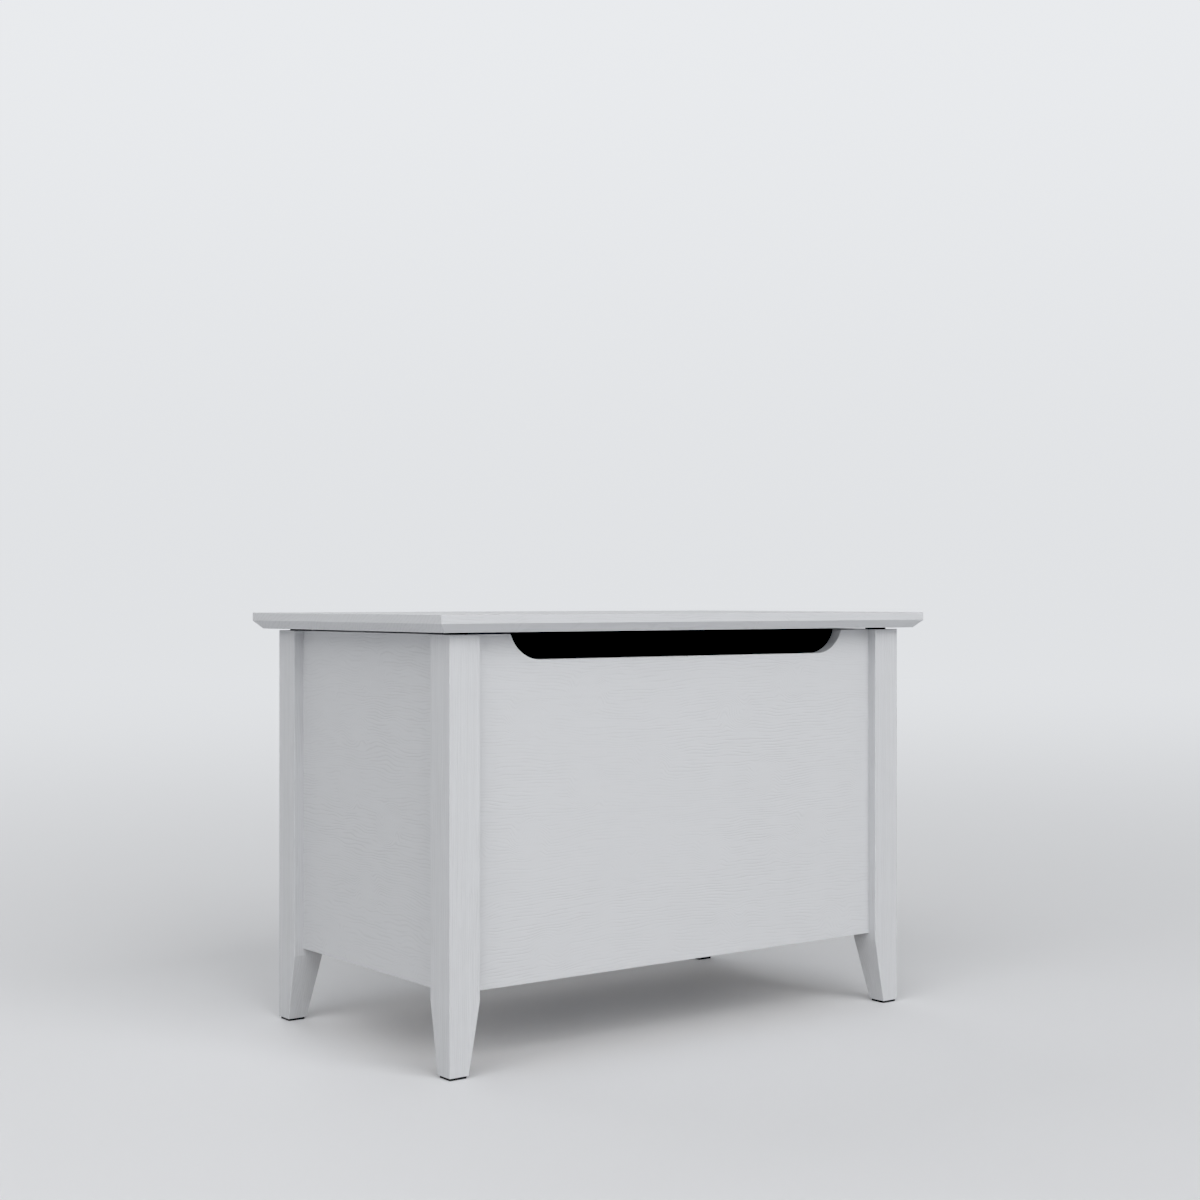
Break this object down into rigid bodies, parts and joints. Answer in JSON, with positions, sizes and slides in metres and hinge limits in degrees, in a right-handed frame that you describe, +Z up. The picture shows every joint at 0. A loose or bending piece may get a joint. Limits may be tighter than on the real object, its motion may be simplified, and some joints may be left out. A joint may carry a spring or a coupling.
{
  "type": "toy box",
  "caption": "Low wooden toy box on square tapered legs, with a bevelled overhanging lid hinged at the back, a long handle slot in the front and sliding lid stays.",
  "frame": {"origin": "on the floor under the middle of the lid, which is the bottom centre of the whole box", "axes": "+X to the right along the front, +Y from the front towards the back, +Z up; the front with the handle slot faces -Y"},
  "size_m": [0.708, 0.422, 0.485],
  "materials": {
    "painted_leg": "satin cool light-grey paint, fine upright grain showing through",
    "painted_panel": "satin cool light-grey paint, wavy grain along the panel showing through",
    "painted_lid": "satin cool light-grey paint, grain along the lid's length",
    "painted_floor": "satin cool light-grey paint, smooth board",
    "bare_pine": "unfinished planed pine",
    "bare_beech": "unfinished turned beech with fine flutes",
    "black_plastic": "moulded matt black",
    "black_rubber": "soft matt black",
    "zinc_steel": "zinc-plated pressed steel",
    "zinc_screw": "bright zinc-plated steel",
    "cast_zinc": "dull die-cast zinc",
    "white_nylon": "natural off-white nylon"
  },
  "bodies": {
    "box": {"leg_front_left": "painted_leg", "leg_front_right": "painted_leg", "leg_back_left": "painted_leg", "leg_back_right": "painted_leg", "foot_glide_front_left": "black_plastic", "foot_glide_front_right": "black_plastic", "foot_glide_back_left": "black_plastic", "foot_glide_back_right": "black_plastic", "lid_bumper_front_left": "black_rubber", "lid_bumper_front_right": "black_rubber", "lid_bumper_back_left": "black_rubber", "lid_bumper_back_right": "black_rubber", "front_panel": "painted_panel", "back_panel": "painted_panel", "left_panel": "painted_panel", "right_panel": "painted_panel", "floor_panel": "painted_floor", "floor_cleat_front": "bare_pine", "floor_cleat_back": "bare_pine", "floor_cleat_left": "bare_pine", "floor_cleat_right": "bare_pine", "hinge_left_box_leaf": "zinc_steel", "hinge_left_pin": "zinc_steel", "hinge_right_box_leaf": "zinc_steel", "hinge_right_pin": "zinc_steel", "stay_left_side_plate": "zinc_steel", "stay_left_washers": "white_nylon", "stay_left_knob": "black_plastic", "stay_right_side_plate": "zinc_steel", "stay_right_washers": "white_nylon", "stay_right_knob": "black_plastic", "hinge_screws_box": "zinc_screw", "stay_screws_box": "zinc_screw", "cam_locks": "cast_zinc", "cam_bolts": "zinc_screw", "dowels": "bare_beech", "cleat_screws": "zinc_screw", "floor_screws": "zinc_screw"},
    "lid": {"lid_panel": "painted_lid", "hinge_screws_lid": "zinc_screw", "stay_screws_lid": "zinc_screw", "hinge_left_lid_leaf": "zinc_steel", "hinge_right_lid_leaf": "zinc_steel", "stay_left_lid_bracket": "zinc_steel", "stay_left_rivet": "zinc_steel", "stay_right_lid_bracket": "zinc_steel", "stay_right_rivet": "zinc_steel"},
    "stay_arm_left": {"stay_left_arm": "zinc_steel"},
    "stay_arm_right": {"stay_right_arm": "zinc_steel"}
  },
  "joints": [
    {"name": "lid_hinge", "type": "hinge", "parent": "box", "child": "lid", "pos_m": [0, 0.1923, 0.4627], "axis": [-1, 0, 0], "range_deg": [0, 85]},
    {"name": "stay_swing_left", "type": "hinge", "parent": "lid", "child": "stay_arm_left", "pos_m": [-0.2989, 0.06793, 0.4502], "axis": [-1, 0, 0], "range_deg": [-42.5, 0]},
    {"name": "stay_swing_right", "type": "hinge", "parent": "lid", "child": "stay_arm_right", "pos_m": [0.2989, 0.06793, 0.4502], "axis": [-1, 0, 0], "range_deg": [-42.5, 0]}
  ],
  "couplings": [
    {"joint": "stay_swing_left", "follows": "lid_hinge", "ratio": -0.5},
    {"joint": "stay_swing_right", "follows": "lid_hinge", "ratio": -0.5}
  ]
}
